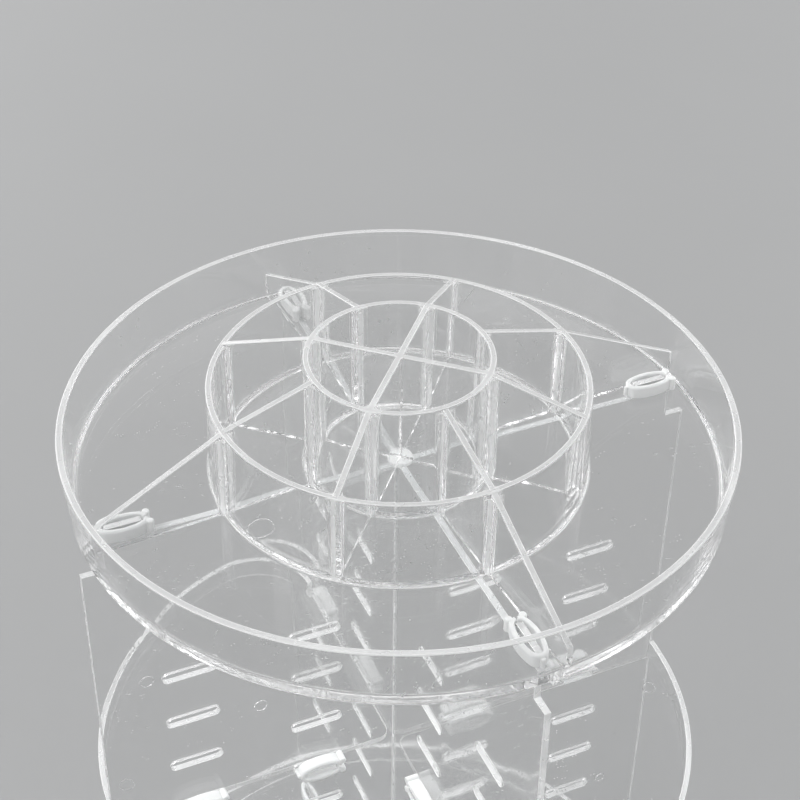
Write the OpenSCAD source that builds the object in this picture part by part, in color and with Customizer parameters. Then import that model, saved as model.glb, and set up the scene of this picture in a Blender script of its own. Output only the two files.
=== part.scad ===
// Clear rotating caddy: two round trays held apart by two crossed panels, quarter trays that
// plug into rows of slots, oval snap clips, and a ball-bearing foot.
// Millimetres.  +Z is up, the origin is on the floor under the spin axis, and the panels
// lie along X and Y.

/* [Round trays] */
// Outside diameter of both round trays at the rim
tray_d = 230; // [220:1:250]
// Height of the top tray's rim above its underside
rim_h = 23; // [20:0.5:28]
// Height of the bottom tray's rim above its underside
low_rim_h = 10; // [8:0.5:13]
// Thickness of the round trays' floors and rims
wall_t = 2.4; // [2.2:0.1:2.6]
// How far a rim leans out from foot to top
rim_lean = 1.9; // [1:0.1:2.5]
// Distance between the undersides of the two round trays
tray_pitch = 280.8; // [270:0.4:300]

/* [Top compartments] */
// Outside diameter of the ring wall at its top
ring_d = 129.4; // [122:0.2:136]
// Height of the ring wall above the tray's underside
ring_h = 36; // [32:0.5:40]
// Outside diameter of the middle cup at its top
cup_d = 64.4; // [58:0.2:70]
// Height of the middle cup above the tray's underside
cup_h = 46; // [42:0.5:52]
// Angle from the panels to the nearest dividers
divider_turn = 3.5; // [3.5:0.1:4.5]
// Thickness of the dividers
divider_t = 2.2; // [1.8:0.1:2.4]
// Height of a fin above the tray's underside where it meets the rim
fin_end_h = 12; // [9:0.5:16]
// Radius of the fillets where upright walls meet
fillet_r = 2.4; // [1:0.2:2.6]

/* [Crossed panels] */
// Thickness of the panels
panel_t = 2.5; // [2:0.1:2.8]
// How far the panels' ends are narrowed on each side
step_in = 7.3; // [6:0.1:8]
// Height of the narrowed ends
step_h = 12; // [12:0.5:16]
// Number of slot rows
slot_rows = 7; // [5:1:7]
// Distance between slot rows
slot_pitch = 23; // [20:0.5:24]
// Length of a slot
slot_l = 20; // [18:0.5:22]
// Height of a slot
slot_h = 4; // [3.4:0.1:4]
// Distance from the axis to the middle of the inner slots
slot_in = 33; // [31:0.5:35]
// Distance from the round trays' outside to the middle of the outer slots
slot_rim = 34.5; // [33:0.5:39]

/* [Quarter trays] */
// Height of a quarter tray's rim above its underside
quarter_rim_h = 10; // [7:0.5:14]
// Row that holds the quarter trays, counted down from the top one
quarter_row = 4; // [2:1:5]
// Radius of the tray's round outer corner
quarter_corner_r = 25; // [15:1:30]

/* [Clips and tabs] */
// Length of a tab along its panel or tray edge
tab_l = 13; // [12:0.5:14]
// How far a tab stands out past what it goes through
tab_out = 4.6; // [3.6:0.2:4.8]
// Distance from the round trays' outside to the middle of the tabs on the panels' ends
tab_rim = 16.5; // [16:0.5:18]
// Height of a clip
clip_h = 5; // [5:0.5:7]
// Thickness of a clip's bowed arms
clip_t = 1.7; // [1.4:0.1:1.8]
// Play between a clip and the ends of its tab
clip_play = 0.6; // [0.5:0.05:0.7]

/* [Bearing foot] */
// Outside diameter of the foot
foot_d = 170; // [160:1:174]
// Diameter of the ring of balls
race_d = 120; // [110:1:130]
// Diameter of a ball
ball_d = 5; // [4.6:0.1:5]
// Number of balls
ball_count = 24; // [16:2:30]
// Diameter of the pivot screw's shank
screw_d = 6; // [5:0.5:6]
// Play between the shank and its bush, on the radius
bush_play = 0.05; // [0.02:0.01:0.1]

/* [Hidden] */
$fn = 96;

// Clear plastic, milky clip plastic, rubber and steel
clear_c = [0.86, 0.9, 0.92, 0.35];
milky_c = [0.93, 0.94, 0.93, 0.85];
rubber_c = [0.12, 0.12, 0.13];
steel_c = [0.72, 0.73, 0.75];
eps = 0.01;

// Rubber pads, the pivot's bush and the screw's washer
pad_count = 6;
pad_r = 7;
pad_h = 3;
pad_at = foot_d / 2 - 11;
pad_play = 0.1;
bush_r = 4.6;
washer_r = 7;
washer_h = 1;

// Heights, from the floor up
foot_z = 2.4;
deck_z = 5;
ball_z = 10.3;
race_half = 1;
race_play = 0.2;
foot_play = 0.6;
bush_z = deck_z - 0.4;
head_top = bush_z - race_play - washer_h;
bottom_z = ball_z + 2.9;
top_z = bottom_z + tray_pitch;
panel_z = bottom_z + wall_t;
panel_h = top_z - panel_z;
first_row = (panel_h - (slot_rows - 1) * slot_pitch) / 2;
quarter_z = top_z - first_row - (quarter_row - 1) * slot_pitch;

// Radii
tray_r = tray_d / 2;
tray_foot_r = tray_r - rim_lean;
panel_r = tray_r - 0.7;
ring_r = ring_d / 2;
cup_r = cup_d / 2;
wall_flare = 0.6;
race_r = race_d / 2;
ball_r = ball_d / 2;
slot_out = tray_r - slot_rim;
end_tab_at = tray_r - tab_rim;

// Clip outline: half lengths of the oval and the radius of its ends
clip_a = tab_l / 2 + clip_play + clip_t;
clip_b = 4.4;
clip_end_r = 3.5;
clip_gap = 1.4;
knob_r = 1.3;

// Panel plan gaps
tab_play = 0.4;
lap_play = 0.1;
edge_gap = 0.35;

// A polygon in (radius, height) stood up as a thin wall along +X
module upright(points, t) {
    rotate([90, 0, 0])
        linear_extrude(height = t, center = true)
            polygon(points);
}

// Round dish with a leaning rim and a filleted inside corner
module dish(h) {
    fillet = 2;
    inner_foot = tray_foot_r - wall_t;
    rotate_extrude()
        union() {
            polygon([[0, 0], [tray_foot_r - 0.5, 0], [tray_foot_r, 0.5],
                     [tray_r, h - 0.4], [tray_r - 0.4, h], [tray_r - wall_t + 0.4, h],
                     [tray_r - wall_t, h - 0.4], [inner_foot, wall_t], [0, wall_t]]);
            difference() {
                translate([inner_foot - fillet, wall_t - eps])
                    square([fillet + 0.2, fillet]);
                translate([inner_foot - fillet, wall_t + fillet])
                    circle(r = fillet);
            }
        }
}

// Round wall that is a little thicker at its foot
module round_wall(r, h, t) {
    rotate_extrude()
        polygon([[r - t - wall_flare, 0], [r + wall_flare, 0], [r, h - 0.4], [r - 0.4, h],
                 [r - t + 0.4, h], [r - t, h - 0.4]]);
}

// Upright fillet in the corner between a divider lying along +X and a round wall of radius r.
// side is 1 or -1 for the divider's two faces, out is 1 outside the round wall and -1 inside.
module corner_fillet(r, h, side, out) {
    x = sqrt(r * r - divider_t * divider_t / 4);
    translate([x, side * divider_t / 2, 0])
        linear_extrude(height = h)
            difference() {
                translate([out > 0 ? -0.4 : -fillet_r, side > 0 ? -eps : -fillet_r])
                    square([fillet_r + 0.4, fillet_r + eps]);
                translate([out * fillet_r, side * fillet_r])
                    circle(r = fillet_r, $fn = 32);
            }
}

// Both fillets of one junction
module junction(r, h, out) {
    for (side = [-1, 1])
        corner_fillet(r, h, side, out);
}

// Opening for one tab through a tray floor
module tab_slot() {
    translate([end_tab_at, 0, wall_t / 2])
        cube([tab_l + 2 * tab_play, panel_t + 2 * tab_play, wall_t + 2], center = true);
}

// Two-dimensional outline of a rounded slot
module slot_outline(l, h) {
    square([l - h, h], center = true);
    for (side = [-1, 1])
        translate([side * (l - h) / 2, 0])
            circle(d = h, $fn = 32);
}

// Oval made of four arcs, its ends a touch fuller than its sides; d shrinks it evenly
module oval(d) {
    fuller = 0.06;
    reach = clip_a - clip_end_r;
    side_r = (reach * reach + clip_b * clip_b - clip_end_r * clip_end_r)
        / (2 * (clip_b - clip_end_r));
    tangent = reach * side_r / (side_r - clip_end_r);
    intersection() {
        square([2 * tangent, 4 * clip_b], center = true);
        translate([0, clip_b - side_r])
            circle(r = side_r - d);
        translate([0, side_r - clip_b])
            circle(r = side_r - d);
    }
    for (side = [-1, 1])
        translate([side * reach, 0])
            circle(r = clip_end_r - d + fuller, $fn = 48);
}

// One oval snap clip standing on z = 0, its split end towards -X
module clip() {
    rib_snap = 0.25;
    rib_root = 0.2;
    rib = [clip_play + rib_snap + rib_root, 1.6, 1];
    color(milky_c) {
        difference() {
            linear_extrude(height = clip_h)
                difference() {
                    oval(0);
                    oval(clip_t);
                }
            translate([-clip_a, 0, clip_h / 2])
                cube([3 * clip_t, clip_gap, clip_h + 2], center = true);
        }
        // Finger knobs at the split end, a small one at the closed end
        for (side = [-1, 1])
            translate([-clip_a + 0.3, side * 2.5, 0])
                cylinder(r = knob_r, h = clip_h, $fn = 32);
        translate([clip_a + 0.2, 0, 0])
            cylinder(r = knob_r - 0.5, h = clip_h - 1, $fn = 32);
        // Rib that snaps into the tab's notch
        translate([tab_l / 2 - rib_snap + rib[0] / 2, 0, clip_h / 2])
            cube(rib, center = true);
    }
}

// Tab outline standing on y = 0, with a notch on each edge for the clip's rib
module tab_outline(through) {
    top = through + tab_out;
    notch_z = through + clip_h / 2;
    difference() {
        translate([0, (top - eps) / 2])
            square([tab_l, top + eps], center = true);
        for (side = [-1, 1])
            translate([side * tab_l / 2, notch_z])
                square([1, 1.4], center = true);
        for (side = [-1, 1])
            translate([side * tab_l / 2, top])
                rotate(45)
                    square(0.9, center = true);
    }
}

// Outline of a full-width panel, with its foot on y = 0
module panel_outline() {
    narrow_r = panel_r - step_in;
    difference() {
        union() {
            translate([-narrow_r, 0])
                square([2 * narrow_r, panel_h]);
            translate([-panel_r, step_h])
                square([2 * panel_r, panel_h - 2 * step_h]);
            for (side = [-1, 1]) {
                translate([side * end_tab_at, panel_h])
                    tab_outline(wall_t);
                translate([side * end_tab_at, 0])
                    mirror([0, 1])
                        tab_outline(wall_t);
            }
        }
        for (side = [-1, 1])
            for (at = [slot_in, slot_out])
                for (row = [0 : slot_rows - 1])
                    translate([side * at, panel_h - first_row - row * slot_pitch])
                        slot_outline(slot_l, slot_h);
    }
}

// One panel in the XZ plane with a half-lap notch; lap is "foot" or "head"
module panel(lap) {
    notch_w = panel_t + 2 * lap_play;
    color(clear_c)
        translate([0, 0, panel_z])
            rotate([90, 0, 0])
                linear_extrude(height = panel_t, center = true)
                    difference() {
                        panel_outline();
                        translate([-notch_w / 2, lap == "foot" ? -1 : panel_h / 2])
                            square([notch_w, panel_h / 2 + 1]);
                    }
}

// Outline of a quarter tray's floor in the quadrant x > 0, y > 0, with its arc at radius r and
// its outer edge shrunk by d.  The corner by the X panel is round, the one by the Y panel square.
module quarter_outline(r, d) {
    near = panel_t / 2 + edge_gap;
    inner_r = 5;
    corner_y = near + quarter_corner_r;
    corner_x = sqrt(pow(tray_r - quarter_corner_r, 2) - corner_y * corner_y);
    reach = 2 * tray_r;
    turn = atan2(corner_y, corner_x);
    intersection() {
        union() {
            translate([near + inner_r, near])
                square(tray_r);
            translate([near, near + inner_r])
                square(tray_r);
            translate([near + inner_r, near + inner_r])
                circle(r = inner_r);
        }
        circle(r = r - d);
        // Everything but the tip outside the round corner
        union() {
            square([corner_x, reach]);
            polygon([[0, 0], [reach * cos(turn), reach * sin(turn)], [reach, reach], [0, reach]]);
            translate([corner_x, corner_y])
                circle(r = quarter_corner_r - d - (tray_r - r));
        }
    }
}

// Quarter tray in the quadrant x > 0, y > 0, with its underside on z = 0
module quarter_tray() {
    lean = 1;
    tab_through = edge_gap + panel_t;
    color(clear_c) {
        linear_extrude(height = wall_t)
            quarter_outline(tray_r - lean, 0);
        // Rim along the arc and the round corner
        difference() {
            linear_extrude(height = quarter_rim_h)
                quarter_outline(tray_r, 0);
            translate([0, 0, wall_t])
                linear_extrude(height = quarter_rim_h)
                    quarter_outline(tray_r, wall_t - 0.2);
            translate([0, 0, -eps])
                linear_extrude(height = wall_t + 2 * eps)
                    quarter_outline(tray_r - lean, 0);
        }
        for (at = [slot_in, slot_out]) {
            translate([at, panel_t / 2 + edge_gap, 0])
                mirror([0, 1, 0])
                    linear_extrude(height = wall_t)
                        tab_outline(tab_through);
            translate([panel_t / 2 + edge_gap, at, 0])
                rotate(90)
                    linear_extrude(height = wall_t)
                        tab_outline(tab_through);
        }
    }
}

// Place something built in the quadrant x > 0, y > 0 into the tray's own quadrant
module in_quadrant(turn) {
    translate([0, 0, quarter_z - wall_t / 2])
        rotate(turn)
            children();
}

// The n-th clip of a quarter tray: 1 and 2 by the X panel, 3 and 4 by the Y panel
module quarter_clip(n, turn) {
    at = n % 2 == 1 ? slot_in : slot_out;
    in_quadrant(turn)
        if (n <= 2)
            translate([at, -panel_t / 2, wall_t / 2])
                rotate([90, 0, 0])
                    clip();
        else
            translate([-panel_t / 2, at, wall_t / 2])
                rotate([90, 0, -90])
                    mirror([1, 0, 0])
                        clip();
}

// Clip round the tab at the top or the bottom of one panel edge; its split end faces the axis
// unless split_out is true
module end_clip(turn, top, split_out = false) {
    rotate(turn)
        if (top)
            translate([end_tab_at, 0, top_z + wall_t])
                rotate(split_out ? 180 : 0)
                    clip();
        else
            translate([end_tab_at, 0, bottom_z])
                mirror([0, 0, 1])
                    clip();
}

// Foot: skirt, deck, ball race, pivot boss, ribs and seats for the pads
module foot_shell() {
    foot_r = foot_d / 2;
    deck_top = ball_z - ball_r - 0.4;
    boss_r = 9;
    // The skirt closes up to the tray, but a foot that reaches the clips stays below them
    clip_room = 0.5;
    reaches = foot_r + clip_room > end_tab_at - clip_a - knob_r;
    skirt_top = bottom_z - (reaches ? clip_h + clip_room : foot_play);
    color(clear_c)
        difference() {
            union() {
                rotate_extrude()
                    polygon([[0, deck_z], [foot_r - wall_t, deck_z], [foot_r - wall_t, foot_z],
                             [foot_r, foot_z], [foot_r, skirt_top - 0.6],
                             [foot_r - 0.6, skirt_top], [foot_r - wall_t, skirt_top],
                             [foot_r - wall_t, deck_top], [race_r + 5, deck_top],
                             [race_r + 5, ball_z - race_half], [race_r - 5, ball_z - race_half],
                             [race_r - 5, deck_top], [0, deck_top]]);
                translate([0, 0, bush_z])
                    cylinder(r = boss_r, h = ball_z - bush_z);
                for (k = [0 : pad_count - 1])
                    rotate(k * 360 / pad_count) {
                        translate([boss_r - 1, -wall_t / 2, foot_z + 0.6])
                            cube([foot_r - boss_r - 0.5, wall_t, deck_z - foot_z]);
                        rotate(180 / pad_count)
                            translate([pad_at, 0, foot_z])
                                cylinder(r = pad_r + 1.5, h = deck_z - foot_z + 1);
                    }
            }
            // Groove for the balls
            rotate_extrude()
                translate([race_r, ball_z])
                    circle(r = ball_r + race_play, $fn = 48);
            // Bore for the bush, and room for the washer and the screw's head
            cylinder(r = bush_r, h = 2 * ball_z);
            translate([0, 0, -eps])
                cylinder(r = boss_r + 1, h = bush_z);
            for (k = [0 : pad_count - 1])
                rotate((k + 0.5) * 360 / pad_count)
                    translate([pad_at, 0, 0])
                        cylinder(r = pad_r + pad_play, h = pad_h);
        }
}

// Rubber pads, pushed up into their seats
module foot_pads() {
    edge = 0.6;
    color(rubber_c)
        for (k = [0 : pad_count - 1])
            rotate((k + 0.5) * 360 / pad_count)
                translate([pad_at, 0, 0])
                    rotate_extrude()
                        polygon([[0, 0], [pad_r - edge, 0], [pad_r, edge], [pad_r, pad_h],
                                 [0, pad_h]]);
}

// Plain bush that the pivot screw turns in
module pivot_bush() {
    color([0.9, 0.9, 0.86])
        translate([0, 0, bush_z])
            difference() {
                cylinder(r = bush_r, h = ball_z - bush_z);
                translate([0, 0, -1])
                    cylinder(r = screw_d / 2 + bush_play, h = ball_z);
            }
}

// Flat ring that keeps the balls apart
module ball_cage() {
    color([0.9, 0.9, 0.86])
        translate([0, 0, ball_z - 0.6])
            difference() {
                cylinder(r = race_r + 6, h = 1.2);
                translate([0, 0, -1])
                    cylinder(r = race_r - 6, h = 4);
                for (k = [0 : ball_count - 1])
                    rotate(k * 360 / ball_count)
                        translate([race_r, 0, -1])
                            cylinder(r = ball_r + 0.1, h = 4, $fn = 32);
            }
}

// Ring of steel balls
module bearing_balls() {
    color(steel_c)
        for (k = [0 : ball_count - 1])
            rotate(k * 360 / ball_count)
                translate([race_r, 0, ball_z])
                    sphere(r = ball_r, $fn = 32);
}

// Shallow tray that turns on the foot and carries the panels
module bottom_tray() {
    boss_r = 8;
    color(clear_c)
        difference() {
            union() {
                translate([0, 0, bottom_z])
                    dish(low_rim_h);
                // Upper race and pivot boss
                translate([0, 0, ball_z + race_half])
                    difference() {
                        cylinder(r = race_r + 5, h = bottom_z - ball_z);
                        translate([0, 0, -1])
                            cylinder(r = race_r - 5, h = bottom_z - ball_z + 2);
                    }
                translate([0, 0, ball_z + 0.3])
                    cylinder(r = boss_r, h = bottom_z - ball_z);
            }
            rotate_extrude()
                translate([race_r, ball_z])
                    circle(r = ball_r + race_play, $fn = 48);
            translate([0, 0, ball_z])
                cylinder(r = screw_d / 2, h = bottom_z - ball_z + wall_t - 0.6);
            for (k = [0 : 3])
                rotate(k * 90)
                    translate([0, 0, bottom_z])
                        tab_slot();
        }
}

// Washer under the bush, clear of it by race_play
module pivot_washer() {
    color(steel_c)
        translate([0, 0, head_top])
            difference() {
                cylinder(r = washer_r, h = washer_h);
                translate([0, 0, -1])
                    cylinder(r = screw_d / 2, h = washer_h + 2);
            }
}

// Screw from below into the bottom tray's boss
module pivot_screw() {
    head_h = 1.8;
    color(steel_c)
        difference() {
            union() {
                rotate_extrude()
                    polygon([[0, head_top - head_h], [4.4, head_top - head_h],
                             [5.6, head_top - head_h + 0.9], [5.6, head_top], [0, head_top]]);
                translate([0, 0, head_top - eps])
                    cylinder(r = screw_d / 2, h = bottom_z + wall_t - 1 - head_top);
            }
            for (turn = [0, 90])
                rotate(turn)
                    translate([0, 0, head_top - head_h])
                        cube([6, 1, 2.2], center = true);
        }
}

// Top tray: dish, ring wall, cup, dividers, fins and the cross in the cup
module top_tray() {
    slope = (cup_h - ring_h) / (ring_r - cup_r);
    cup_in = cup_r - divider_t - 0.3;
    ring_in = ring_r - divider_t - 0.2;
    color(clear_c)
        translate([0, 0, top_z])
            difference() {
                union() {
                    dish(rim_h);
                    translate([0, 0, wall_t - eps])
                        round_wall(ring_r, ring_h - wall_t, divider_t);
                    translate([0, 0, wall_t - eps])
                        round_wall(cup_r, cup_h - wall_t, divider_t);
                    for (k = [0 : 7])
                        rotate(divider_turn + 45 * k) {
                            upright([[cup_r - 1, wall_t - eps], [ring_r - 1, wall_t - eps],
                                     [ring_r - 1, ring_h + slope], [cup_r - 1, cup_h]],
                                    divider_t);
                            translate([0, 0, wall_t - eps]) {
                                junction(ring_in, ring_h - wall_t, -1);
                                junction(cup_r + 0.2, cup_h - wall_t - 1, 1);
                            }
                        }
                    // Fins carry every second divider on to the rim
                    for (k = [0 : 3])
                        rotate(divider_turn + 90 * k) {
                            upright([[ring_r - 1, wall_t - eps],
                                     [tray_foot_r - wall_t + 0.5, wall_t - eps],
                                     [tray_foot_r - wall_t + 0.5, fin_end_h],
                                     [ring_r - 1, ring_h]], divider_t);
                            translate([0, 0, wall_t - eps])
                                junction(ring_r + 0.2, ring_h - wall_t - 1.6, 1);
                        }
                    // Cross in the cup
                    for (k = [0 : 3])
                        rotate(divider_turn + 45 + 90 * k) {
                            upright([[0, wall_t - eps], [cup_r - 1, wall_t - eps],
                                     [cup_r - 1, cup_h], [0, cup_h]], divider_t);
                            translate([0, 0, wall_t - eps])
                                junction(cup_in, cup_h - wall_t, -1);
                        }
                    // Gate boss in the middle of the cup's floor
                    translate([0, 0, wall_t - eps])
                        cylinder(r = 5.5, h = 0.8);
                }
                for (k = [0 : 3])
                    rotate(90 * k)
                        tab_slot();
            }
}

foot_shell();
foot_pads();
pivot_bush();
ball_cage();
bearing_balls();
bottom_tray();
pivot_screw();
pivot_washer();
panel("foot");  // cross_panel_x
rotate(90) panel("head");  // cross_panel_y
top_tray();
in_quadrant(-90) quarter_tray();  // quarter_tray_front
in_quadrant(90) quarter_tray();  // quarter_tray_back
end_clip(0, true, true);  // top_clip_right
end_clip(90, true);  // top_clip_back
end_clip(180, true);  // top_clip_left
end_clip(270, true);  // top_clip_front
end_clip(0, false);  // bottom_clip_right
end_clip(90, false);  // bottom_clip_back
end_clip(180, false);  // bottom_clip_left
end_clip(270, false);  // bottom_clip_front
quarter_clip(1, -90);  // front_tray_clip_1
quarter_clip(2, -90);  // front_tray_clip_2
quarter_clip(3, -90);  // front_tray_clip_3
quarter_clip(4, -90);  // front_tray_clip_4
quarter_clip(1, 90);  // back_tray_clip_1
quarter_clip(2, 90);  // back_tray_clip_2
quarter_clip(3, 90);  // back_tray_clip_3
quarter_clip(4, 90);  // back_tray_clip_4
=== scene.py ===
import math

import bmesh
import bpy
from mathutils import Matrix, Vector
from mathutils.bvhtree import BVHTree


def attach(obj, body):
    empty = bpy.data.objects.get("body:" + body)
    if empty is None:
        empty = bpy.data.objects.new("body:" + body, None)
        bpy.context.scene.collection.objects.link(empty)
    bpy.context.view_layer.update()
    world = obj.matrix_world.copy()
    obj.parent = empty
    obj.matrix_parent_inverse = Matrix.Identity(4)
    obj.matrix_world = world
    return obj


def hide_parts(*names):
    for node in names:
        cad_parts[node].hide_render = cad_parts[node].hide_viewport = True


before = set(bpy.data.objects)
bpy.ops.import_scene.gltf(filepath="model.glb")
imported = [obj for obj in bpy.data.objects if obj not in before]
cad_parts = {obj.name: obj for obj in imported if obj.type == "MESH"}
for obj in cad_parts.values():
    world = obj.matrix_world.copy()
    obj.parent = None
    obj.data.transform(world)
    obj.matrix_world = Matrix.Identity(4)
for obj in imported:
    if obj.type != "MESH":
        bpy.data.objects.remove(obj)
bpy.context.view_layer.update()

# ---------------------------------------------------------------------------------------------
# Foot shell: a low clear disc moulded in one shot, with a skirt, a ball race, ribs and six pad
# seats. It is the only piece that stands still, so its gloss is the least handled.
# ---------------------------------------------------------------------------------------------
mm = 0.001


def effect(name, dials, results):
    """Start a shader node group with named dials, each with its usual value, and named results."""
    group = bpy.data.node_groups.new(name, "ShaderNodeTree")
    for dial, usual in dials.items():
        socket = group.interface.new_socket(dial, in_out="INPUT", socket_type="NodeSocketFloat")
        socket.default_value = usual
    for result in results:
        group.interface.new_socket(result, in_out="OUTPUT", socket_type="NodeSocketFloat")
    return group, group.nodes.new("NodeGroupInput").outputs, group.nodes.new("NodeGroupOutput").inputs


def add(tree, kind, feeds=None, **settings):
    """Add one shader node. feeds gives each input a plain value or the socket that drives it."""
    made = tree.nodes.new("ShaderNode" + kind)
    for name, value in settings.items():
        setattr(made, name, value)
    for name, value in (feeds or {}).items():
        if isinstance(value, bpy.types.NodeSocket):
            tree.links.new(value, made.inputs[name])
        else:
            made.inputs[name].default_value = value
    return made


def reckon(tree, kind, first, second, clamp=False):
    """One arithmetic step between two values or sockets, such as ADD or MULTIPLY."""
    return add(tree, "Math", {0: first, 1: second}, operation=kind, use_clamp=clamp).outputs[0]


# Hairline scratches: noise drawn out into threads that run three ways
scratches, dial, result = effect("Hairline scratches", {"Fineness": 900.0, "Amount": 0.5}, ["Mask"])
place = add(scratches, "TexCoord").outputs["Object"]
threads = 0.0
for lean, run in (((0.3, 0.2, 0.5), 0.0), ((1.1, 0.5, 2.0), 3.7), ((0.4, 1.2, 3.9), 8.1)):
    turned_place = add(scratches, "Mapping", {"Vector": place, "Rotation": lean,
                                             "Location": (run, run, run)}).outputs[0]
    drawn = add(scratches, "VectorMath", {0: turned_place, 1: (0.03, 1.0, 1.0)},
                operation="MULTIPLY").outputs[0]
    hair = add(scratches, "TexNoise", {"Vector": drawn, "Scale": dial["Fineness"],
                                       "Detail": 1.0}).outputs[0]
    patch = add(scratches, "TexNoise", {"Vector": turned_place, "Scale": 24.0,
                                        "Detail": 1.0}).outputs[0]
    line = add(scratches, "MapRange", {"Value": hair, "From Min": 0.70, "From Max": 0.76}).outputs[0]
    here = add(scratches, "MapRange", {"Value": patch, "From Min": 0.50, "From Max": 0.60}).outputs[0]
    threads = reckon(scratches, "MAXIMUM", reckon(scratches, "MULTIPLY", line, here), threads)
scratches.links.new(reckon(scratches, "MULTIPLY", threads, dial["Amount"], True), result["Mask"])

# Flow streaks: moulded plastic runs out from the gate in the middle and up every wall, so the
# streaks follow the angle round the axis and hardly change with the radius or the height
flow, dial, result = effect("Flow streaks", {"Streaks": 9.0, "Ripple": 22.0}, ["Height"])
spot = add(flow, "TexCoord").outputs["Object"]
place = add(flow, "SeparateXYZ", {0: spot}).outputs
angle = reckon(flow, "ARCTAN2", place["Y"], place["X"])
around = add(flow, "CombineXYZ", {"X": reckon(flow, "MULTIPLY", angle, dial["Streaks"]),
                                  "Y": reckon(flow, "MULTIPLY", place["Z"], 9.0)}).outputs[0]
streak = add(flow, "TexNoise", {"Vector": around, "Scale": 1.0, "Detail": 2.0}).outputs[0]
flat_spot = add(flow, "VectorMath", {0: spot, 1: (1.0, 1.0, 0.0)}, operation="MULTIPLY").outputs[0]
from_gate = add(flow, "VectorMath", {0: flat_spot}, operation="LENGTH").outputs["Value"]
streak = reckon(flow, "MULTIPLY", streak, reckon(flow, "MULTIPLY", from_gate, 9.0))
swell = add(flow, "TexNoise", {"Vector": spot, "Scale": dial["Ripple"], "Detail": 1.0}).outputs[0]
flow.links.new(reckon(flow, "ADD", streak, swell), result["Height"])

# Dust: sparse specks of lint and grit held by static
dust, dial, result = effect("Dust specks", {"Spacing": 110.0, "Size": 0.035}, ["Mask"])
speck = add(dust, "TexVoronoi", {"Vector": add(dust, "TexCoord").outputs["Object"],
                                 "Scale": dial["Spacing"]})
chosen = add(dust, "SeparateColor", {0: speck.outputs["Color"]}).outputs[0]
width = reckon(dust, "MULTIPLY", reckon(dust, "SUBTRACT", chosen, 0.45), dial["Size"])
dust.links.new(reckon(dust, "LESS_THAN", speck.outputs["Distance"], width), result["Mask"])


def blended(tree, share, first, second):
    """Mix two colours, where share is a mask or a cloud and 1 gives the second."""
    return add(tree, "Mix", {"Factor": share, 6: first, 7: second}, data_type="RGBA").outputs[2]


def use(tree, group, **dials):
    """Place an effect in a material with its own values."""
    placed = tree.nodes.new("ShaderNodeGroup")
    placed.node_tree = group
    for dial, value in dials.items():
        placed.inputs[dial].default_value = value
    return placed.outputs[0]


def lets_lamps_through(tree, body, tone):
    """Finish a clear material: lamps reach what is behind it, through a pale shadow."""
    pale = add(tree, "BsdfTransparent", {"Color": tone})
    lamp = add(tree, "MixShader", {0: add(tree, "LightPath").outputs["Is Shadow Ray"],
                                   1: body.outputs[0], 2: pale.outputs[0]})
    add(tree, "OutputMaterial", {"Surface": lamp.outputs[0]})


def clear_plastic(name, tint, gloss, streaks, ripple, scratched, dusty):
    """Crystal-clear moulded plastic: polished faces, flow streaks, fine scratches, a little dust."""
    made = bpy.data.materials.new(name)
    made.use_nodes = True
    tree = made.node_tree
    tree.nodes.clear()
    hairs = use(tree, scratches, Amount=scratched)
    specks = use(tree, dust, Size=dusty)
    rough = reckon(tree, "ADD", gloss, reckon(tree, "MULTIPLY", hairs, 0.35))
    rough = reckon(tree, "MAXIMUM", rough, reckon(tree, "MULTIPLY", specks, 0.8), True)
    soiled = reckon(tree, "MAXIMUM", specks, reckon(tree, "MULTIPLY", hairs, 0.4))
    tone = blended(tree, soiled, tint, (0.80, 0.81, 0.82, 1))
    run = add(tree, "Bump", {"Height": use(tree, flow, Streaks=streaks, Ripple=ripple),
                             "Strength": 0.16, "Distance": 0.12 * mm}).outputs[0]
    cut = add(tree, "Bump", {"Height": hairs, "Strength": 0.3, "Distance": 0.05 * mm, "Normal": run},
              invert=True).outputs[0]
    body = add(tree, "BsdfPrincipled", {"Base Color": tone, "Roughness": rough, "Normal": cut,
                                        "Transmission Weight": 1.0, "IOR": 1.49})
    lets_lamps_through(tree, body, (0.937, 0.94, 0.941, 1))
    return made


def finish_node(name, finish):
    """Give a CAD node its finish."""
    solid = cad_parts[name]
    solid.data.materials.clear()
    solid.data.materials.append(finish)


foot_plastic = clear_plastic("foot_clear_plastic", (0.975, 0.977, 0.977, 1), gloss=0.035, streaks=6.0,
                             ripple=30.0, scratched=0.3, dusty=0.03)
finish_node("foot_shell", foot_plastic)

# ---------------------------------------------------------------------------------------------
# Rubber pads: six soft buttons pressed up into seats under the foot. Each has a rounded rim and
# a shallow sucker hollow in its sole, and grips the table while the tower turns.
# ---------------------------------------------------------------------------------------------


def softened(corners, steps=4):
    """Round the corners of a closed outline, where a corner is (x, y) or (x, y, radius)."""
    line = []
    for k, corner in enumerate(corners):
        here = Vector(corner[:2])
        if len(corner) == 2:
            line.append(here)
            continue
        before = (Vector(corners[k - 1][:2]) - here).normalized()
        after = (Vector(corners[(k + 1) % len(corners)][:2]) - here).normalized()
        half = before.angle(after) / 2
        centre = here + (before + after).normalized() * corner[2] / math.sin(half)
        reach = corner[2] / math.tan(half)
        start, end = here + before * reach - centre, here + after * reach - centre
        swing = start.angle(end)
        for s in range(steps + 1):
            a, b = math.sin((1 - s / steps) * swing), math.sin(s / steps * swing)
            line.append(centre + (start * a + end * b) / math.sin(swing))
    return line


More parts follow.
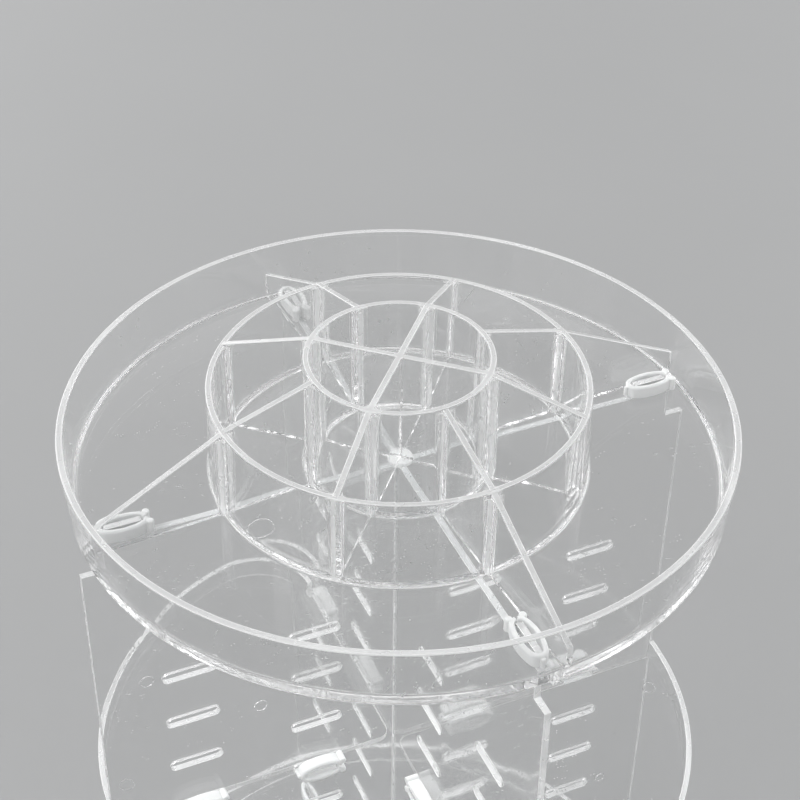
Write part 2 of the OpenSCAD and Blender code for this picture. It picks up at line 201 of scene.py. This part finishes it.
def piece(name, bm):
    """Turn a bmesh made in millimetres into an object in metres."""
    bmesh.ops.recalc_face_normals(bm, faces=bm.faces)
    bmesh.ops.scale(bm, vec=(mm, mm, mm), verts=bm.verts)
    mesh = bpy.data.meshes.new(name)
    bm.to_mesh(mesh)
    bm.free()
    made = bpy.data.objects.new(name, mesh)
    bpy.context.scene.collection.objects.link(made)
    return made


def turned(name, outline, steps=288, centre=(0, 0)):
    """Turn a closed (radius, height) outline about an upright axis into one solid."""
    bm = bmesh.new()
    rings = []
    for s in range(steps):
        turn = math.tau * s / steps
        rings.append([bm.verts.new((centre[0] + r * math.cos(turn), centre[1] + r * math.sin(turn), z))
                      for r, z in outline])
    for s in range(steps):
        last, this = rings[s - 1], rings[s]
        for k in range(len(outline)):
            if max(outline[k - 1][0], outline[k][0]) > 1e-6:
                bm.faces.new((last[k - 1], this[k - 1], this[k], last[k]))
    bmesh.ops.remove_doubles(bm, verts=bm.verts, dist=1e-4)
    return piece(name, bm)


def dressed(made, finish, slot, body, *nodes, smooth=35):
    """Shade and paint a finished piece, hide the CAD nodes it stands for, and hang it on the body it rides
    on; the slot is not used.
    """
    made.data.shade_smooth()
    made.data.set_sharp_from_angle(angle=math.radians(smooth))
    flats = made.modifiers.new("flat faces stay flat", "WEIGHTED_NORMAL")
    flats.keep_sharp, flats.weight = True, 100
    made.data.materials.clear()
    made.data.materials.append(finish)
    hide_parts(*nodes)
    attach(made, body)


def joined(name, parts):
    """Put loose solids into one object."""
    bm = bmesh.new()
    for part in parts:
        bm.from_mesh(part.data)
        bpy.data.objects.remove(part)
    bmesh.ops.scale(bm, vec=(1 / mm, 1 / mm, 1 / mm), verts=bm.verts)
    return piece(name, bm)


# Rubbed edges: the rounded edges of a moulding lose their polish first
rubbed, dial, result = effect("Rubbed edges", {"Reach": 0.08, "Patchiness": 60.0}, ["Mask"])
sharp = add(rubbed, "NewGeometry").outputs["Pointiness"]
edge = add(rubbed, "MapRange", {"Value": sharp, "From Min": 0.52,
                                "From Max": reckon(rubbed, "ADD", dial["Reach"], 0.52)}).outputs[0]
worn = add(rubbed, "TexNoise", {"Vector": add(rubbed, "TexCoord").outputs["Object"],
                                "Scale": dial["Patchiness"], "Detail": 3.0}).outputs[0]
worn = add(rubbed, "MapRange", {"Value": worn, "From Min": 0.35, "From Max": 0.65,
                                "To Min": 0.45}).outputs[0]
rubbed.links.new(reckon(rubbed, "MULTIPLY", edge, worn, True), result["Mask"])

# Mottling: cloudy unevenness or a fine grain, by its fineness
mottle, dial, result = effect("Mottling", {"Fineness": 300.0, "Detail": 4.0}, ["Shade"])
mottle.links.new(add(mottle, "TexNoise", {"Vector": add(mottle, "TexCoord").outputs["Object"],
                                          "Scale": dial["Fineness"], "Detail": dial["Detail"]}).outputs[0],
                 result["Shade"])


def plain_finish(name):
    """Start an opaque material and give its node tree and its surface's sockets."""
    made = bpy.data.materials.new(name)
    made.use_nodes = True
    return made, made.node_tree, made.node_tree.nodes["Principled BSDF"].inputs


def feed(tree, skin, colour, rough, low, high, height, strength, deep):
    """Drive a surface's colour, its roughness between two values, and its fine relief."""
    tree.links.new(colour, skin["Base Color"])
    tree.links.new(add(tree, "MapRange", {"Value": rough, "To Min": low, "To Max": high}).outputs[0],
                   skin["Roughness"])
    tree.links.new(add(tree, "Bump", {"Height": height, "Strength": strength,
                                      "Distance": deep * mm}).outputs[0], skin["Normal"])


rubber, tree, skin = plain_finish("pad_rubber")
grain = use(tree, mottle, Fineness=900.0, Detail=4.0)
colour = blended(tree, use(tree, rubbed, Reach=0.05), (0.028, 0.028, 0.030, 1), (0.075, 0.074, 0.073, 1))
feed(tree, skin, colour, grain, 0.62, 0.9, grain, 0.4, 0.06)

pad_r, pad_h, pad_ring = 7.0, 3.0, 74
pad_section = softened([(0, 0.25), (4.2, 0.25, 0.3), (4.8, 0, 0.2), (pad_r, 0, 0.7), (pad_r, pad_h, 0.2),
                        (0, pad_h)])
pads = []
for k in range(6):
    turn = math.radians(30 + 60 * k)
    seat = (pad_ring * math.cos(turn), pad_ring * math.sin(turn))
    pads.append(turned("pad", pad_section, 64, seat))
dressed(joined("rubber_pads", pads), rubber, "rubber", "foot", "foot_pads")

# ---------------------------------------------------------------------------------------------
# Ball bearing: twenty-four steel balls in a flat white cage, with a white bush in the middle for
# the pivot. The cage is punched sheet plastic and the balls are ground and polished.
# ---------------------------------------------------------------------------------------------


def steel(name, colour, rough, brush):
    """Bare steel with fine working marks."""
    made, tree, skin = plain_finish(name)
    skin["Metallic"].default_value = 1.0
    hairs = use(tree, scratches, Fineness=1500.0, Amount=0.8)
    cloud = use(tree, mottle, Fineness=260.0, Detail=4.0)
    dull = tuple(c * 0.8 for c in colour)
    feed(tree, skin, blended(tree, cloud, (*colour, 1), (*dull, 1)), cloud, rough, rough + 0.12,
         hairs, brush, 0.02)
    return made


acetal, tree, skin = plain_finish("bearing_white_plastic")
grain = use(tree, mottle, Fineness=1400.0, Detail=3.0)
white = (0.80, 0.795, 0.76)
colour = blended(tree, use(tree, scratches, Amount=0.6), (*white, 1), (*[c * 0.86 for c in white], 1))
feed(tree, skin, colour, grain, 0.34, 0.52, grain, 0.25, 0.03)
finish_node("ball_cage", acetal)
finish_node("pivot_bush", acetal)
finish_node("bearing_balls", steel("ball_steel", (0.62, 0.63, 0.65), 0.06, 0.1))

# ---------------------------------------------------------------------------------------------
# Bottom tray: a clear shallow dish moulded in one shot with the upper ball race and a boss for
# the pivot screw. Four slots in its floor take the tabs on the panels' feet.
# ---------------------------------------------------------------------------------------------


def spin_about_axis(bm, turn):
    """Turn a bmesh about the spin axis, in degrees."""
    bmesh.ops.rotate(bm, cent=(0, 0, 0), matrix=Matrix.Rotation(math.radians(turn), 3, "Z"),
                     verts=bm.verts)


def block(low, high, turn=0.0):
    """A rectangular cutter between two corners, turned about the spin axis."""
    bm = bmesh.new()
    bmesh.ops.create_cube(bm, size=1)
    size, middle = Vector(high) - Vector(low), (Vector(high) + Vector(low)) / 2
    bmesh.ops.scale(bm, vec=size, verts=bm.verts)
    bmesh.ops.translate(bm, vec=middle, verts=bm.verts)
    spin_about_axis(bm, turn)
    return piece("cutter", bm)


def moulded(name, parts, cuts=()):
    """Fuse solids into one moulding, less the cuts."""
    whole = parts[0]
    for kind, tools in (("UNION", parts[1:]), ("DIFFERENCE", cuts)):
        for tool in tools:
            step = whole.modifiers.new("join", "BOOLEAN")
            step.operation, step.solver, step.object = kind, "MANIFOLD", tool
    bpy.context.view_layer.update()
    mesh = bpy.data.meshes.new_from_object(whole.evaluated_get(bpy.context.evaluated_depsgraph_get()))
    for part in [*parts, *cuts]:
        bpy.data.objects.remove(part)
    mesh.name = name
    made = bpy.data.objects.new(name, mesh)
    bpy.context.scene.collection.objects.link(made)
    return made


def satin_highlight_plastic(name, clearness, low_rough, high_rough):
    """Clear plastic that left the mould less polished, with a painted highlight: a whitish colour and less
    clearness, so its faces read as bright lines under any light.
    """
    made = bpy.data.materials.new(name)
    made.use_nodes = True
    tree = made.node_tree
    tree.nodes.clear()
    hairs = use(tree, scratches, Fineness=1300.0, Amount=0.8)
    cloud = use(tree, mottle, Fineness=70.0, Detail=4.0)
    grain = use(tree, mottle, Fineness=1900.0, Detail=2.0)
    # Painted highlight: a near-white colour, cloudy at random, stands in for the light that edge-lit clear
    # plastic shows
    tone = blended(tree, cloud, (0.965, 0.967, 0.968, 1), (0.915, 0.918, 0.92, 1))
    rough = add(tree, "MapRange", {"Value": cloud, "To Min": low_rough,
                                   "To Max": high_rough}).outputs[0]
    nap = add(tree, "Bump", {"Height": reckon(tree, "SUBTRACT", grain, hairs), "Strength": 0.3,
                             "Distance": 0.03 * mm}).outputs[0]
    body = add(tree, "BsdfPrincipled", {"Base Color": tone, "Roughness": rough, "Normal": nap,
                                        "Transmission Weight": clearness, "IOR": 1.49})
    lets_lamps_through(tree, body, (0.866, 0.868, 0.868, 1))
    return made


# Painted highlight: wall ends get a whitish, half-clear satin plastic, and their rounded edges an almost
# opaque white, so both show as bright lines
satin_end_highlight = satin_highlight_plastic("satin_end_painted_highlight", clearness=0.52, low_rough=0.18, high_rough=0.36)
edge_highlight = satin_highlight_plastic("edge_painted_highlight", clearness=0.1, low_rough=0.30, high_rough=0.46)


def satin_ends_and_highlights(made, deep=4.0, edge_deep=2.75, edge_wide=0.32):
    """Flat ends of walls, with plastic deep behind them, are satin with a painted highlight, and their
    rounded edges are painted white as a highlight.
    """
    made.data.materials.append(satin_end_highlight)
    made.data.materials.append(edge_highlight)
    solid = BVHTree.FromObject(made, bpy.context.evaluated_depsgraph_get())
    spot_of = [corner.co for corner in made.data.vertices]
    for face in made.data.polygons:
        into = face.normal * -0.02 * mm
        spots = [face.center] + [face.center.lerp(spot_of[v], 0.6) for v in face.vertices]
        depth = min(solid.ray_cast(spot + into, -face.normal)[3] or 1.0 for spot in spots)
        longest = max((spot_of[a] - spot_of[b]).length for a, b in face.edge_keys)
        # Narrow rounded-edge strips get the painted white highlight; other deep ends get the satin plastic
        # with its painted highlight
        if depth > edge_deep * mm and face.area < edge_wide * mm * longest:
            face.material_index = 2
        elif depth > deep * mm:
            face.material_index = 1


crystal = (0.981, 0.982, 0.982, 1)
tray_plastic = clear_plastic("tray_clear_plastic", crystal, gloss=0.02, streaks=7.0, ripple=24.0,
                             scratched=0.8, dusty=0.06)
tray_r, base_r, inner_r, inner_base_r = 115, 113.1, 112.6, 110.7
low_z, floor_z, rim_z = 13.2, 15.6, 23.2
race_r, ball_z, groove_r = 60, 10.3, 2.7
race = [(race_r + groove_r * math.cos(math.radians(a)), ball_z + groove_r * math.sin(math.radians(a)))
        for a in (158.3, 140, 120, 100, 80, 60, 40, 21.7)]
boss = [(0, 15.0), (3, 15.0), (3, 10.6), (8, 10.6, 0.3), (8, low_z)]
bottom_section = softened([*boss, (55, low_z), (55, 11.3, 0.2), *race, (65, 11.3, 0.2), (65, low_z),
                           (base_r, low_z, 0.6), (tray_r, rim_z, 0.5), (inner_r, rim_z, 0.5),
                           (inner_base_r, floor_z, 2.0), (0, floor_z)])
slot_near, slot_far, slot_half = 91.6, 105.4, 1.65
foot_slots = [block((slot_near, -slot_half, 12), (slot_far, slot_half, 17), 90 * k) for k in range(4)]
lower_tray = moulded("lower_tray", [turned("dish", bottom_section)], foot_slots)
dressed(lower_tray, tray_plastic, "clear_plastic", "tower", "bottom_tray")
satin_ends_and_highlights(lower_tray)

# ---------------------------------------------------------------------------------------------
# Pivot screw and washer: a cross-slotted steel screw driven up through the foot's bush into the
# bottom tray's boss. It holds tower and foot together and is bright zinc-plated steel.
# ---------------------------------------------------------------------------------------------
plated = steel("plated_steel", (0.56, 0.57, 0.58), 0.22, 0.3)
finish_node("pivot_screw", plated)
finish_node("pivot_washer", plated)

# ---------------------------------------------------------------------------------------------
# Crossed panels: two clear sheets, half-lapped at the axis, with stepped corners, rows of
# rounded slots and a tab at each corner. Shallow rings are left where the ejector pins pushed.
# ---------------------------------------------------------------------------------------------


def sheet_of(name, loops, low, high, edge):
    """A flat sheet between two heights with rounded edges, from an outline and its openings."""
    outline = bpy.data.curves.new(name, "CURVE")
    outline.dimensions, outline.fill_mode = "2D", "BOTH"
    outline.extrude = ((high - low) / 2 - edge) * mm
    outline.bevel_depth, outline.bevel_resolution, outline.offset = edge * mm, 2, -edge * mm
    for loop in loops:
        spline = outline.splines.new("POLY")
        spline.points.add(len(loop) - 1)
        for point, (x, y) in zip(spline.points, loop):
            point.co = (x * mm, y * mm, 0, 1)
        spline.use_cyclic_u = True
    drawn = bpy.data.objects.new(name, outline)
    bpy.context.scene.collection.objects.link(drawn)
    bpy.context.view_layer.update()
    bm = bmesh.new()
    bm.from_mesh(drawn.to_mesh())
    drawn.to_mesh_clear()
    bpy.data.objects.remove(drawn)
    bmesh.ops.scale(bm, vec=(1 / mm, 1 / mm, 1 / mm), verts=bm.verts)
    bmesh.ops.translate(bm, vec=(0, 0, (low + high) / 2), verts=bm.verts)
    bmesh.ops.remove_doubles(bm, verts=bm.verts, dist=1e-4)
    return piece(name, bm)


def tab(along, foot, reach, notch):
    """Corner points of one notched tab, met from the left, that stands out of an edge."""
    half, corner, bite, gape = 6.5, 0.6, 0.5, 0.7
    side = [(-half, foot), (-half, foot + notch - gape), (-half + bite, foot + notch - gape),
            (-half + bite, foot + notch + gape), (-half, foot + notch + gape),
            (-half, foot + reach - corner), (-half + corner, foot + reach)]
    return [(along + x, y) for x, y in side] + [(along - x, y) for x, y in reversed(side)]


def slot_loop(x, y, straight=8, end_r=2):
    """A rounded slot, 20 by 4 millimetres, from half its straight sides and its ends' radius."""
    loop = []
    for side in (1, -1):
        for s in range(13):
            turn = math.radians(-90 * side + 15 * s)
            loop.append((x + side * straight + end_r * math.cos(turn), y + end_r * math.sin(turn)))
    return loop


panel_h, panel_half_t, lap_half = 278.4, 1.25, 1.35
wing, neck, step_h = 114.3, 107, 12
tab_at, tab_reach, tab_notch = 98.5, 7.0, 4.9
slot_columns, slot_rows, slot_pitch, first_slot = (-80.5, -33, 33, 80.5), 7, 23, 70.2


def panel(name, lap_low, lap_high, marks):
    """One panel lying on its side: x is across the tower and y is up it, from the panel's foot."""
    top = tab(-tab_at, panel_h, tab_reach, tab_notch) + tab(tab_at, panel_h, tab_reach, tab_notch)
    foot = [(x, panel_h - y) for x, y in top]
    right = [(neck, 0), (neck, step_h), (wing, step_h), (wing, panel_h - step_h),
             (neck, panel_h - step_h), (neck, panel_h)]
    left = [(-x, y) for x, y in reversed(right)]
    top_back = list(reversed(top))
    middle = len(top) // 2
    # The outline runs along the foot from left to right, then up, back along the top, and down
    if lap_low == 0:
        cut = [(-lap_half, 0), (-lap_half, lap_high), (lap_half, lap_high), (lap_half, 0)]
        loop = foot[:middle] + cut + foot[middle:] + right + top_back + left
    else:
        cut = [(lap_half, panel_h), (lap_half, lap_low), (-lap_half, lap_low), (-lap_half, panel_h)]
        loop = foot + right + top_back[:middle] + cut + top_back[middle:] + left
    slots = [slot_loop(x, panel_h - first_slot - slot_pitch * row)
             for x in slot_columns for row in range(slot_rows)]
    rings = [turned("mark", [(r - 0.4, 1.0), (r + 0.15, 1.0), (r, 1.5), (r - 0.25, 1.5)], 48,
                    (x, y - floor_z)) for x, y, r in marks]
    return moulded(name, [sheet_of(name, [loop, *slots], -panel_half_t, panel_half_t, 0.3), *rings])


panel_plastic = clear_plastic("panel_clear_plastic", crystal, gloss=0.025, streaks=3.0, ripple=14.0,
                              scratched=0.7, dusty=0.055)
for name, node, spin, low, high, marks in (
        ("wide_panel", "cross_panel_x", 0, 0, panel_h / 2,
         [(-96.2, 226.0, 2.6), (-54.9, 196.3, 2.6), (96.8, 85.9, 2.2)]),
        ("deep_panel", "cross_panel_y", 90, panel_h / 2, panel_h,
         [(-96.8, 85.9, 2.2), (54.9, 196.3, 2.6), (96.2, 226.0, 2.6)])):
    made = panel(name, low, high, marks)
    stand = Matrix.Rotation(math.radians(spin), 4, "Z") @ Matrix.Translation((0, 0, floor_z * mm))
    made.data.transform(stand @ Matrix.Rotation(math.radians(90), 4, "X"))
    dressed(made, panel_plastic, "clear_plastic", "tower", node)
    satin_ends_and_highlights(made)

# ---------------------------------------------------------------------------------------------
# Top tray: the largest moulding. A leaning rim, a floor, a ring wall and a taller cup are turned,
# and thin walls cross them: eight dividers, four fins out to the rim and a cross in the cup.
# ---------------------------------------------------------------------------------------------


half_wall, half_wall_squared = 1.1, 1.21


def wall(side_view, turn, edge=0.45):
    """A flat upright wall with rounded top edges, standing along a turned X axis."""
    bm = bmesh.new()
    near = bm.faces.new([bm.verts.new((x, -half_wall, z)) for x, z in side_view])
    for v in bmesh.ops.extrude_face_region(bm, geom=[near])["geom"]:
        if isinstance(v, bmesh.types.BMVert):
            v.co.y = half_wall
    bmesh.ops.recalc_face_normals(bm, faces=bm.faces)
    low = min(z for _, z in side_view) + 0.5
    tops = [e for e in bm.edges if min(v.co.z for v in e.verts) > low
            and abs(e.verts[0].co.y - e.verts[1].co.y) < 1e-6]
    bmesh.ops.bevel(bm, geom=tops, offset=edge, segments=3, profile=0.5, affect="EDGES")
    spin_about_axis(bm, turn)
    return piece("wall", bm)


def corner_web(r, side, out, turn, low, high, fillet=2.4):
    """Fillet between a turned wall of radius r and one face of a flat wall that meets it."""
    x, y, sunk = math.sqrt(r * r - half_wall_squared), half_wall, 0.4
    flat = [(x - out * sunk, side * (y - sunk)), (x + out * fillet, side * (y - sunk))]
    for s in range(9):
        a = math.radians(-90 - 11.25 * s)
        flat.append((x + out * fillet * (1 + math.cos(a)), side * (y + fillet * (1 + math.sin(a)))))
    flat.append((x - out * sunk, side * (y + fillet)))
    bm = bmesh.new()
    foot = bm.faces.new([bm.verts.new((px, py, low)) for px, py in flat])
    for v in bmesh.ops.extrude_face_region(bm, geom=[foot])["geom"]:
        if isinstance(v, bmesh.types.BMVert):
            v.co.z = high
    spin_about_axis(bm, turn)
    return piece("web", bm)


top_z, top_floor, top_rim, ring_top, cup_top = 294, 2.4, 23, 36, 46
top_section = softened([(0, 0), (base_r, 0, 0.6), (tray_r, top_rim, 0.5), (inner_r, top_rim, 0.5),
                        (inner_base_r, top_floor, 2.0),
                        (65.3, top_floor, 1.2), (64.7, ring_top, 0.5), (62.5, ring_top, 0.5),
                        (61.9, top_floor, 1.2),
                        (32.8, top_floor, 1.2), (32.2, cup_top, 0.5), (30.0, cup_top, 0.5),
                        (29.4, top_floor, 1.2),
                        (5.5, top_floor, 0.3), (5.5, 3.2, 0.3), (0, 3.2)])
cup_mid, ring_mid, fin_end, sunk_z, first_wall = 31.2, 63.7, 111.2, 2.0, 3.5
cup_inside, cup_outside, ring_inside, ring_outside = 29.7, 32.4, 62.3, 64.9
divider = [(cup_mid, sunk_z), (ring_mid, sunk_z), (ring_mid, 36.3), (cup_mid, cup_top)]
fin = [(ring_mid, sunk_z), (fin_end, sunk_z), (fin_end, 12), (ring_mid, ring_top)]
cup_wall = [(0, sunk_z), (cup_mid, sunk_z), (cup_mid, cup_top), (0, cup_top)]
top_parts = [turned("dish", top_section)]
for k in range(8):
    turn = first_wall + 45 * k
    top_parts.append(wall(divider, turn))
    for side in (1, -1):
        top_parts.append(corner_web(ring_inside, side, -1, turn, sunk_z, 35.6))
        top_parts.append(corner_web(cup_outside, side, 1, turn, sunk_z, 44.8))
for k in range(4):
    turn = first_wall + 90 * k
    top_parts.append(wall(fin, turn))
    top_parts.append(wall(cup_wall, turn + 45))
    for side in (1, -1):
        top_parts.append(corner_web(ring_outside, side, 1, turn, sunk_z, 34.0))
        top_parts.append(corner_web(cup_inside, side, -1, turn + 45, sunk_z, 45.6))
top_parts.append(turned("mark", [(3.7, 2.0), (4.5, 2.0), (4.3, 2.7), (3.9, 2.7)], 48, (-55.5, -15.8)))
top_slots = [block((slot_near, -slot_half, -1), (slot_far, slot_half, 4), 90 * k) for k in range(4)]
top_tray = moulded("upper_tray", top_parts, top_slots)
top_tray.data.transform(Matrix.Translation((0, 0, top_z * mm)))
dressed(top_tray, tray_plastic, "clear_plastic", "tower", "top_tray")
satin_ends_and_highlights(top_tray)

# ---------------------------------------------------------------------------------------------
# Quarter trays: clear shelves with a low rim along the arc and round one corner. Four notched
# tabs go through the panels' slots, and the shelf hangs on them a little loosely.
# ---------------------------------------------------------------------------------------------


def rim_along(name, path, section):
    """Sweep a closed (outward, height) section along a path of (point, outward direction)."""
    bm = bmesh.new()
    rows = [[bm.verts.new((*(at + out * o), z)) for o, z in section] for at, out in path]
    for last, this in zip(rows, rows[1:]):
        for k in range(len(section)):
            bm.faces.new((last[k - 1], this[k - 1], this[k], last[k]))
    bm.faces.new(rows[0])
    bm.faces.new(rows[-1])
    return piece(name, bm)


def heading(angle):
    """Unit vector that points at an angle."""
    return Vector((math.cos(angle), math.sin(angle)))


corner_r, corner_y = 25, 26.6
corner_centre = Vector((math.sqrt((tray_r - corner_r) ** 2 - corner_y ** 2), corner_y))
join_angle = math.atan2(corner_centre.y, corner_centre.x)
arc_start = math.radians(89.2)
arc_angles = [arc_start + (join_angle - arc_start) * s / 60 for s in range(61)]
bend_angles = [join_angle + (math.radians(-90) - join_angle) * s / 28 for s in range(29)]
rim_path = ([(heading(a) * tray_r, heading(a)) for a in arc_angles]
            + [(corner_centre + heading(a) * corner_r, heading(a)) for a in bend_angles[1:]])
rim_section = softened([(-0.8, 0.05, 0.3), (0, 10, 0.4), (-2.2, 10, 0.4), (-2.7, 0.9), (-2.0, 0.05)])
shelf_t, shelf_z, edge_at, under_rim, heel_r = 2.4, 153.6, 1.6, 1.4, 5
tab_places, shelf_reach, shelf_notch = (33, 80.5), 7.45, 5.35
shelf_edge = [(edge_at + heel_r, edge_at)]
for at in tab_places:
    shelf_edge += [(x, edge_at - y) for x, y in tab(at, 0, shelf_reach, shelf_notch)]
shelf_edge += [tuple(corner_centre + heading(a) * (corner_r - under_rim)) for a in reversed(bend_angles)]
shelf_edge += [tuple(heading(a) * (tray_r - under_rim)) for a in reversed(arc_angles)][1:]
for at in reversed(tab_places):
    shelf_edge += [(edge_at - y, x) for x, y in reversed(tab(at, 0, shelf_reach, shelf_notch))]
heel_at = edge_at + heel_r
shelf_edge += [(heel_at - heel_r * math.cos(math.radians(a)), heel_at - heel_r * math.sin(math.radians(a)))
               for a in range(0, 90, 15)]

shelf_plastic = clear_plastic("shelf_clear_plastic", crystal, gloss=0.025, streaks=5.0, ripple=20.0,
                              scratched=0.8, dusty=0.06)
for name, node, turn in (("front_shelf", "quarter_tray_front", -90),
                         ("back_shelf", "quarter_tray_back", 90)):
    ring = turned("mark", [(2.3, 2.0), (3.0, 2.0), (2.85, 2.65), (2.5, 2.65)], 48, (17.6, 104.2))
    shelf = moulded(name, [sheet_of(name, [shelf_edge], 0, shelf_t, 0.3),
                           rim_along("rim", rim_path, rim_section), ring])
    shelf.data.transform(Matrix.Rotation(math.radians(turn), 4, "Z")
                         @ Matrix.Translation((0, 0, shelf_z * mm)))
    dressed(shelf, shelf_plastic, "clear_plastic", "tower", node)
    satin_ends_and_highlights(shelf)

# ---------------------------------------------------------------------------------------------
# Snap clips: milky springy ovals, split at one end between two finger knobs. Each is pressed
# over a tab, where a small rib snaps into the tab's notch and locks it.
# ---------------------------------------------------------------------------------------------
milky, tree, skin = plain_finish("clip_milky_plastic")
for socket, value in (("Subsurface Weight", 0.3), ("Subsurface Radius", (1.0, 1.0, 1.0)),
                      ("Subsurface Scale", 1.2 * mm), ("IOR", 1.5)):
    skin[socket].default_value = value
cloud = use(tree, mottle, Fineness=320.0, Detail=4.0)
grain = use(tree, mottle, Fineness=2600.0, Detail=2.0)
tone = blended(tree, cloud, (0.90, 0.905, 0.905, 1), (0.84, 0.85, 0.85, 1))
colour = blended(tree, use(tree, rubbed, Reach=0.1), tone, (0.93, 0.93, 0.925, 1))
feed(tree, skin, colour, cloud, 0.24, 0.44, reckon(tree, "ADD", grain, cloud), 0.35, 0.08)

side_centre, side_r, end_centre, end_r, join = 15.16, 19.56, 5.3, 3.5, 70.73


def oval_point(angle):
    """Outer face of the clip's oval and its outward direction, from four joined arcs."""
    out = heading(angle)
    if abs(math.sin(angle)) > math.sin(math.radians(join)):
        return Vector((0, math.copysign(side_centre, -out.y))) + out * side_r, out
    return Vector((math.copysign(end_centre, out.x), 0)) + out * end_r, out


band = [oval_point(math.radians(168.4 - 336.8 * s / 84)) for s in range(85)]
clip_h, clip_t, top_clip_z, shelf_clip_z = 5, 1.7, 296.4, 154.8
band_section = softened([(0, 0, 0.8), (0, clip_h, 0.8), (-clip_t, clip_h, 0.5), (-clip_t, 0, 0.5)])
knob = softened([(0, 0), (1.3, 0, 0.35), (1.3, clip_h, 0.45), (0, clip_h)])
heel = softened([(0, 0.5), (0.8, 0.5, 0.2), (0.8, 4.2, 0.3), (0, 4.2)])
clip = moulded("clip", [rim_along("band", band, band_section),
                        turned("knob", knob, 32, (-8.5, 2.5)), turned("knob", knob, 32, (-8.5, -2.5)),
                        turned("heel", heel, 32, (9.0, 0)), block((6.25, -0.8, 2.0), (7.6, 0.8, 3.0))])
places = {}
for k, side in enumerate(("right", "back", "left", "front")):
    spin = Matrix.Rotation(math.radians(90 * k), 4, "Z")
    split = Matrix.Rotation(math.radians(180 if side == "right" else 0), 4, "Z")
    places["top_clip_" + side] = spin @ Matrix.Translation((tab_at * mm, 0, top_clip_z * mm)) @ split
    places["bottom_clip_" + side] = (spin @ Matrix.Translation((tab_at * mm, 0, low_z * mm))
                                     @ Matrix.Rotation(math.pi, 4, "X"))
for name, turn in (("front", -90), ("back", 90)):
    quadrant = (Matrix.Rotation(math.radians(turn), 4, "Z")
                @ Matrix.Translation((0, 0, shelf_clip_z * mm)))
    for k, at in enumerate(tab_places):
        behind = -panel_half_t * mm
        places[f"{name}_tray_clip_{k + 1}"] = (quadrant @ Matrix.Translation((at * mm, behind, 0))
                                               @ Matrix.Rotation(math.radians(90), 4, "X"))
        places[f"{name}_tray_clip_{k + 3}"] = (quadrant @ Matrix.Translation((behind, at * mm, 0))
                                               @ Matrix.Rotation(math.radians(-90), 4, "Z")
                                               @ Matrix.Rotation(math.radians(90), 4, "X")
                                               @ Matrix.Rotation(math.pi, 4, "Z"))
for node, place in places.items():
    made = clip.copy()
    made.data = clip.data.copy()
    made.name = "snap_" + node
    bpy.context.scene.collection.objects.link(made)
    made.data.transform(place)
    dressed(made, milky, "milky_plastic", "tower", node)
bpy.data.objects.remove(clip)

# ---------------------------------------------------------------------------------------------
# Studio: a plain pale table top, soft boxes above and behind, and a long lens from the front
# left that looks down on the top tray.
# ---------------------------------------------------------------------------------------------
bm = bmesh.new()
bmesh.ops.create_grid(bm, x_segments=1, y_segments=1, size=20000)
table = piece("table_top", bm)
table.location.z = -0.0002
paper, tree, skin = plain_finish("table_paper")
fibre = use(tree, mottle, Fineness=5.0, Detail=6.0)
tree.links.new(blended(tree, fibre, (0.40, 0.403, 0.406, 1), (0.42, 0.423, 0.426, 1)), skin["Base Color"])
skin["Roughness"].default_value = 0.7
table.data.materials.append(paper)

world = bpy.data.worlds.new("studio")
bpy.context.scene.world = world
world.use_nodes = True
tree = world.node_tree
above = add(tree, "SeparateXYZ", {0: add(tree, "TexCoord").outputs["Generated"]}).outputs["Z"]
# Pale at the horizon like the far table, bright from 15 to 35 degrees up, plain overhead
levels = ((0.0, 0.33), (0.20, 0.43), (0.34, 1.42), (0.48, 1.42), (0.62, 0.42), (1.0, 0.40))
sky = add(tree, "ValToRGB", {0: above})
while len(sky.color_ramp.elements) < len(levels):
    sky.color_ramp.elements.new(0.5)
for stop, (up, level) in zip(sky.color_ramp.elements, levels):
    stop.position, stop.color = up, (level, level * 1.003, level * 1.006, 1)
tree.links.new(sky.outputs[0], tree.nodes["Background"].inputs["Color"])


def soft_box(name, place, aim, size, power):
    """A rectangular soft lamp that faces a point."""
    lamp = bpy.data.lights.new(name, "AREA")
    lamp.shape, lamp.size, lamp.size_y, lamp.energy = "RECTANGLE", *size, power
    held = bpy.data.objects.new(name, lamp)
    bpy.context.scene.collection.objects.link(held)
    held.location = place
    held.rotation_mode = "QUATERNION"
    held.rotation_quaternion = (Vector(aim) - Vector(place)).to_track_quat("-Z", "Y")


soft_box("key", place=(-1.1, -0.2, 1.7), aim=(0, 0, 0.2), size=(1.2, 1.2), power=9)
soft_box("rim", place=(-0.6, 1.8, 1.0), aim=(0, 0, 0.25), size=(1.6, 0.8), power=12)
soft_box("fill", place=(1.7, 0.2, 0.7), aim=(0, 0, 0.25), size=(1.4, 0.8), power=8.5)

lens = bpy.data.cameras.new("camera")
camera = bpy.data.objects.new("camera", lens)
bpy.context.scene.collection.objects.link(camera)
bpy.context.scene.camera = camera
lens.lens, lens.sensor_width, lens.clip_start = 80.41, 36.0, 0.02
camera.location = (-0.1938, -0.4360, 0.6880)
camera.rotation_mode = "QUATERNION"
look = Vector((0.3225, 0.7243, -0.6094)).normalized()
camera.rotation_quaternion = (Matrix.Rotation(math.radians(-0.711), 3, look).to_quaternion()
                              @ look.to_track_quat("-Z", "Y"))
bpy.context.scene.view_settings.view_transform = "Standard"

# Rays that meet wall after wall of clear plastic need many turns before they reach the light
turns = bpy.context.scene.cycles
turns.max_bounces = turns.glossy_bounces = 160
turns.transmission_bounces, turns.transparent_max_bounces = 60, 80
